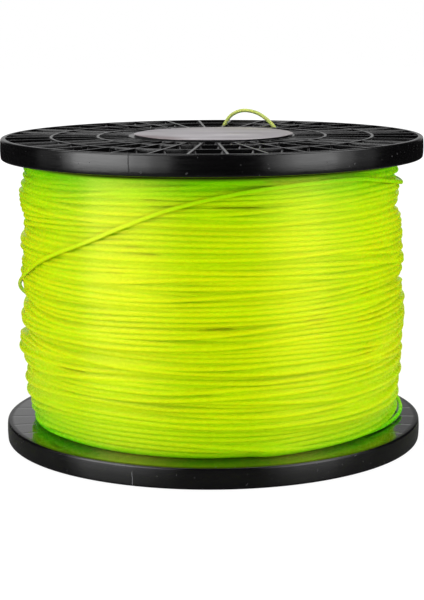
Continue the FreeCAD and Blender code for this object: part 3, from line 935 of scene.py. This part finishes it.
def painted_shading_of(points):
    """How much painted shade turns each point greener and painted shadow turns it darker, from 0 to 1, and
    a third value that isn't used.
    """
    p = np.array(points)
    radius = np.hypot(p[:, 0], p[:, 1])
    turn = (np.arctan2(p[:, 0], -p[:, 1]) - WIND_START) / math.tau
    column = np.round(turn * COLUMNS).astype(int) % COLUMNS
    height = p[:, 2]
    row = np.clip(((height - grid[1]) / ROW).round().astype(int) + 1, 0, len(grid) - 1)
    below = ramp(smooth_top[row, column] + CREASE_FREE - radius, 0, CREASE_SHADE_DEPTH)
    ends = ramp(height, *UPPER_SHADE_AT) + ramp(height, *LOWER_SHADE_AT)
    to_side = p[:, 0] / radius
    aside = BASE_SHADE + LEFT_SHADE * np.clip(-to_side, 0, 1) ** 2
    aside = aside + RIGHT_SHADE * np.clip(to_side, 0, 1) ** 4
    green = CREASE_SHADE * below + END_SHADE * ends + TOP_SHADE * ramp(height, *TOP_SHADE_AT) ** 2
    green = green + ramp(height, *BASE_SHADE_AT) * aside + FOOT_SHADE * ramp(height, *FOOT_SHADE_AT)
    return np.stack([np.clip(green, 0, 1), ramp(height, *CREST_SHADOW_AT), np.zeros(len(p))], 1)


def pack_mesh():
    """The skin over all the turns, closed along the core."""
    sines, cosines = np.sin(fine_angles), np.cos(fine_angles)
    heights = np.repeat(grid[:, None], COLUMNS, 1)
    skin = np.stack([outside * sines, -outside * cosines, heights], 2).reshape(-1, 3)
    core = [np.tile(CORE_RADIUS * sines, 2), np.tile(-CORE_RADIUS * cosines, 2)]
    core.append(np.repeat([PACK_LOW, PACK_HIGH], COLUMNS))
    rows = len(grid)
    here = np.arange(COLUMNS)
    after = (here + 1) % COLUMNS
    loops = [row * COLUMNS for row in range(rows)] + [(rows + 1) * COLUMNS, rows * COLUMNS, 0]
    faces = []
    for low, high in zip(loops, loops[1:]):
        faces += np.stack([low + here, low + after, high + after, high + here], 1).tolist()
    return np.concatenate([skin, np.stack(core, 1)]), faces


verts, faces = pack_mesh()
winding = mesh_object("string_winding", verts, faces, string, painted_shading=painted_shading_of(verts), lean=LEAN)
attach(winding, "root")
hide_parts("string_outer_layer", "string_inner_layers")

# strands over the pack, as angle, height and radius, where 0 rests on what the strand crosses.
# The last turn: under the top rim on the right, down the long diagonal and off to the back
LAST_TURN = [
    (250, 187.5, 0), (200, 189, 0), (150, 188, 0), (118, 179.5, 0), (103, 176.4, 127.6),
    (93, 175.2, 129.6), (84, 175.6, 127.8), (66, 181, 0), (45, 187.2, 0), (23.2, 186.4, 0),
    (8.3, 183.2, 0), (-6, 176.4, 0), (-15.5, 169.8, 0), (-29, 157.1, 0), (-43.5, 144.2, 0),
    (-56.8, 133.7, 0), (-64, 126.5, 0), (-69, 121.6, 130.6), (-75, 116.8, 130.4), (-82, 111.8, 130.9),
    (-90, 106.2, 132.8), (-98, 99.6, 135.6), (-105, 93.4, 138), (-111, 87.4, 139.4),
    (-119, 82, 138.6), (-131, 78, 135), (-145, 76, 0), (-170, 75, 0), (-200, 74.6, 0),
]
# the lowest turn, which stands off the pack's foot at the right
LOW_TURN = [
    (44, 17.5, 118.5), (52, 16.4, 120.8), (60, 16.0, 122.8), (70, 15.9, 124.9), (80, 16.0, 128.2),
    (88, 16.8, 130.8), (94, 18.4, 131.7), (100, 21.2, 131.2), (107, 24.4, 129.3), (115, 26.5, 126.5),
    (124, 27.5, 122.0),
]
ROUTE_STEP = 1.5
ROUTE_BLUR, LIFT_BLUR = 3, 2.5  # the steps over which a route's height and radius are smoothed
STRAND_SIDES = 10
LEAST_REST = 120
STRAND_SINK = 0.9  # how deep a resting strand lies in the skin
STRAND_FREE = (0.4, 1.6)  # how far off the pack a strand starts to count as free, and does wholly


def lay_over(route):
    """A strand's points along its route, and how free of the pack it is at each."""
    knots = np.array(route, float)
    if knots[0, 0] > knots[-1, 0]:
        knots = knots[::-1]
    a = np.arange(knots[0, 0], knots[-1, 0] + ROUTE_STEP / 2, ROUTE_STEP)
    z = blur(np.interp(a, knots[:, 0], knots[:, 1]), ROUTE_BLUR)
    index = np.round((np.radians(a) - WIND_START) / math.tau * STEPS).astype(int) % STEPS
    gap = np.abs(z[None, :] - all_z[:, index])
    rest = np.where(gap < WIRE, all_r[:, index] + rise(gap), 0).max(0)
    rest = np.maximum(rest, LEAST_REST)
    resting = np.array([rest[max(i - 2, 0) : i + 3].max() for i in range(len(rest))]) - STRAND_SINK
    wide = resting.copy()
    for (start, _, low), (end, _, high) in zip(knots, knots[1:]):
        if low and high:
            inside = (a >= start) & (a <= end)
            wide[inside] = np.interp(a[inside], [start, end], [low, high])
    r = blur(wide, LIFT_BLUR)
    free = ramp(blur(wide - resting, LIFT_BLUR), *STRAND_FREE)
    a = np.radians(a)
    return np.stack([r * np.sin(a), -r * np.cos(a), z], 1), free


for name, route in (("string_last_turn", LAST_TURN), ("string_low_turn", LOW_TURN)):
    line, free = lay_over(route)
    verts, faces = tube(line, WIRE / 2, STRAND_SIDES)
    softened = np.repeat(LEAN * (1 - free), STRAND_SIDES)
    turn = mesh_object(name, verts, faces, single_string, painted_shading=painted_shading_of(verts), lean=softened)
    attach(turn, "root")


# The label
LABEL_RADIUS = 54.0
LABEL_MIDDLE = 0.6  # the radius of the film's innermost ring
LABEL_RINGS, LABEL_ARCS = 28, 144
LABEL_SHIFT = 1.2  # the film lies this far to the right of the reel's centre
LABEL_HEIGHT, LABEL_HIGHEST, LABEL_THICKNESS = 208.68, 208.88, 0.12
FOLD_HEIGHT, FOLD_WAVES = 0.045, 6
FOLD_LENGTH, FOLD_STEP = 5.0, 2.2  # the first fold's length, and how much longer each next one is
LIFT_HEIGHT, LIFT_START, LIFT_WIDTH, LIFT_WAVES = 0.08, 49, 5, 5
# the backing disc's rings
PAD_RADII = (51.6, 52.0, 52.0, 51.4)
PAD_HEIGHTS = (207.5, 207.62, 207.95, 208.05)
PAD_SIDES = 120


def make_label():
    """A thin film over a backing disc, with shallow creases and a lifted edge. The disc is near black:
    painted shade under the film's edge.
    """
    rng = np.random.default_rng(LABEL_SEED)
    phases = rng.uniform(0, math.tau, 2 * FOLD_WAVES)
    verts, faces = [], []
    for drop in (0.0, LABEL_THICKNESS):
        for i in range(LABEL_RINGS + 1):
            r = LABEL_RADIUS * (i / LABEL_RINGS) if i else LABEL_MIDDLE
            for k in range(LABEL_ARCS):
                a = math.tau * k / LABEL_ARCS
                x, y = r * math.sin(a), -r * math.cos(a)
                wave = 0.0
                for n, d in enumerate(phases[:FOLD_WAVES]):
                    across = x * math.cos(d) + y * math.sin(d)
                    wave += math.sin(across / (FOLD_LENGTH + FOLD_STEP * n) + phases[FOLD_WAVES + n])
                edge = max(0.0, (r - LIFT_START) / LIFT_WIDTH)
                lift = LIFT_HEIGHT * edge * math.sin(LIFT_WAVES * a + phases[3])
                z = LABEL_HEIGHT + FOLD_HEIGHT * wave + lift
                verts.append((x + LABEL_SHIFT, y, min(z, LABEL_HIGHEST) - drop))
    half = (LABEL_RINGS + 1) * LABEL_ARCS
    for i in range(LABEL_RINGS):
        for k in range(LABEL_ARCS):
            n = (k + 1) % LABEL_ARCS
            a = i * LABEL_ARCS
            b = a + LABEL_ARCS
            faces.append((a + k, b + k, b + n, a + n))
            faces.append((half + a + n, half + b + n, half + b + k, half + a + k))
    for k in range(LABEL_ARCS):
        n = (k + 1) % LABEL_ARCS
        a = LABEL_RINGS * LABEL_ARCS
        faces.append((a + k, half + a + k, half + a + n, a + n))
    faces.append(tuple(range(LABEL_ARCS)))
    faces.append(tuple(half + k for k in range(LABEL_ARCS))[::-1])
    film = mesh_object("hub_label_film", verts, faces, label_film)
    verts, faces = [], []
    prism(verts, faces, (0, 0), PAD_RADII, PAD_HEIGHTS, PAD_SIDES)
    pad = mesh_object("hub_label_backing", verts, faces, backing, smooth=False)
    return film, pad


film, pad = make_label()
for piece in (film, pad):
    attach(piece, "root")
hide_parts("hub_label")


# The solids that stay as they are
def dress(body, material):
    body.data.materials.clear()
    body.data.materials.append(material)


for name in ("tie_bolts", "tie_bolt_nuts"):
    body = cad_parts[name]
    dress(body, steel)
    bevel = body.modifiers.new("edges", "BEVEL")
    bevel.width = 0.0003
    bevel.segments = 2
    bevel.limit_method = "ANGLE"
dress(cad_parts["barrel"], upper_plastic)


# Studio
FLOOR_WHITE = 1.12
FLOOR_GREY = (0.82, 0.82, 0.82)
# the floor as the reel's gloss shows it, near the reel and far from it
MIRRORED_FAR, MIRRORED_NEAR = (0.01, 0.01, 0.01), (0.16, 0.16, 0.16)
WORLD_LEVEL = 0.97
# the room as the reel's gloss shows it: in front, straight behind, and what is left of it low on the right
MIRRORED_FRONT, MIRRORED_BACK, MIRRORED_RIGHT = 0.01, 0.45, 0.5


def mixed(tree, share, one, other):
    """A shader between two, by share."""
    return node(tree, "ShaderNodeMixShader", {0: share, 1: one, 2: other}).outputs[0]


def stage_material():
    """Pale floor: plain white to the camera, with the reel's shadow kept faintly. The reel's gloss sees a
    painted reflection: dark grey near the reel, black farther off, with a faint sheen near the reel.
    """
    material = bpy.data.materials.new("floor")
    material.use_nodes = True
    tree = material.node_tree
    tree.nodes.clear()
    path = node(tree, "ShaderNodeLightPath", {}).outputs
    glossy = path["Is Glossy Ray"]
    white = node(tree, "ShaderNodeEmission", {"Color": (1, 1, 1, 1), "Strength": FLOOR_WHITE})
    away = length(tree, object_point(tree))
    near = spread(tree, away, 0.4, 0.8, 1.0, 0.0)
    mirrored = blend(tree, near, MIRRORED_FAR, MIRRORED_NEAR)
    plain = node(tree, "ShaderNodeBsdfDiffuse", {0: blend(tree, glossy, FLOOR_GREY, mirrored)})
    gloss = node(tree, "ShaderNodeBsdfGlossy", {"Color": (0.6, 0.6, 0.6, 1), "Roughness": 0.2})
    facing = times(tree, node(tree, "ShaderNodeFresnel", {"IOR": IOR}).outputs[0], near)
    glossed = mixed(tree, times(tree, facing, glossy), plain.outputs[0], gloss.outputs[0])
    share = times(tree, path["Is Camera Ray"], spread(tree, away, 0.2, 0.8, 0.8, 1.0))
    node(tree, "ShaderNodeOutputMaterial", {0: mixed(tree, share, glossed, white.outputs[0])})
    return material


def make_world():
    """A white room that the reel's gloss shows as dark, but for what is straight behind the reel."""
    world = bpy.data.worlds.new("studio")
    bpy.context.scene.world = world
    world.use_nodes = True
    tree = world.node_tree
    tree.nodes.clear()
    path = node(tree, "ShaderNodeLightPath", {}).outputs
    x, y, z = split(tree, node(tree, "ShaderNodeTexCoord", {}).outputs["Generated"])
    behind = spread(tree, y, 0.86, 0.97, MIRRORED_FRONT, MIRRORED_BACK)
    right_low = times(tree, spread(tree, x, 0.02, 0.12), spread(tree, z, 0.14, 0.2))
    level = times(tree, behind, spread(tree, right_low, 0, 1, 1.0, MIRRORED_RIGHT))
    level = times(tree, path["Is Glossy Ray"], minus(tree, level, WORLD_LEVEL))
    seen = combine(tree, "MAXIMUM", path["Is Camera Ray"], path["Is Transmission Ray"])
    level = plus(tree, plus(tree, level, WORLD_LEVEL), times(tree, seen, 1 - WORLD_LEVEL))
    room = node(tree, "ShaderNodeBackground", {"Color": (1, 1, 1, 1), "Strength": level})
    node(tree, "ShaderNodeOutputWorld", {0: room.outputs[0]})


def panel(name, corners, material):
    """One flat face of the studio."""
    mesh = bpy.data.meshes.new(name)
    mesh.from_pydata(corners, [], [(0, 1, 2, 3)])
    mesh.materials.append(material)
    return link(bpy.data.objects.new(name, mesh))


floor = panel("floor", [(-6, -6, 0), (6, -6, 0), (6, 6, 0), (-6, 6, 0)], stage_material())
make_world()


def area_light(name, place, target, width, height, radiance, diffuse=True, glossy=True):
    """A rectangular lamp of the given radiance that faces its target."""
    data = bpy.data.lights.new(name, "AREA")
    data.shape = "RECTANGLE"
    data.size = width
    data.size_y = height
    data.energy = radiance * math.pi * width * height
    lamp = link(bpy.data.objects.new(name, data))
    lamp.location = place
    lamp.rotation_euler = (Vector(target) - Vector(place)).to_track_quat("-Z", "Y").to_euler()
    lamp.visible_camera = False
    lamp.visible_diffuse = diffuse
    lamp.visible_glossy = glossy


def softbox(name, start, end, bottom, top, radiance, **seen):
    """A panel one metre off, between two angles round the reel, facing it."""
    middle, half = math.radians((start + end) / 2), math.radians(abs(end - start) / 2)
    reach = math.cos(half)
    height = (top + bottom) / 2
    place = (reach * math.sin(middle), -reach * math.cos(middle), height)
    area_light(name, place, (0, 0, height), 2 * math.sin(half), top - bottom, radiance, **seen)


# the soft boxes that only the gloss shows, as two angles and a radiance: dimmer low down than above
SOFTBOXES = [
    (-98, -84, 0.2), (-79, -72, 1.4), (-72, -40, 4.0), (-40, -30, 2.5), (-30, -20, 1.2), (26, 33, 0.8),
    (33, 40, 1.8), (40, 64, 2.8), (64, 74, 1.1), (74, 90, 0.3),
]
SOFTBOX_BASE, SOFTBOX_STEP, SOFTBOX_TOP = 0.0, 0.11, 0.65
LOW_SHARE, HIGH_SHARE = 0.8, 1.3
# the softer light that the gloss doesn't show
FILLS = [("fill_left", -105, -40), ("fill_right", 40, 105)]
FILL_TOP, FILL_RADIANCE = 0.6, 0.9
OVERHEAD_SIZE, OVERHEAD_RADIANCE = (0.75, 1.0), 3.2

for number, (start, end, radiance) in enumerate(SOFTBOXES):
    low, high = radiance * LOW_SHARE, radiance * HIGH_SHARE
    softbox(f"softbox_low_{number}", start, end, SOFTBOX_BASE, SOFTBOX_STEP, low, diffuse=False)
    softbox(f"softbox_high_{number}", start, end, SOFTBOX_STEP, SOFTBOX_TOP, high, diffuse=False)
for name, start, end in FILLS:
    softbox(name, start, end, 0.0, FILL_TOP, FILL_RADIANCE, glossy=False)
for side in (-1, 1):
    place = (side * 0.62, -0.05, 1.15)
    area_light(f"overhead_{side}", place, (0, 0, 0.1), *OVERHEAD_SIZE, OVERHEAD_RADIANCE, diffuse=False)

# a black flag beyond the camera, which only the gloss shows
flag_material, tree, shader = new_material("flag")
feed(tree, shader, {"Base Color": (0.01, 0.01, 0.01, 1), "Roughness": 1.0})
flag_corners = [(-0.42, -1.35, 0.0), (0.42, -1.35, 0.0), (0.42, -1.35, 1.2), (-0.42, -1.35, 1.2)]
flag = panel("flag", flag_corners, flag_material)
flag.visible_camera = False
flag.visible_shadow = False
flag.visible_diffuse = False

bpy.context.scene.view_settings.view_transform = "Standard"
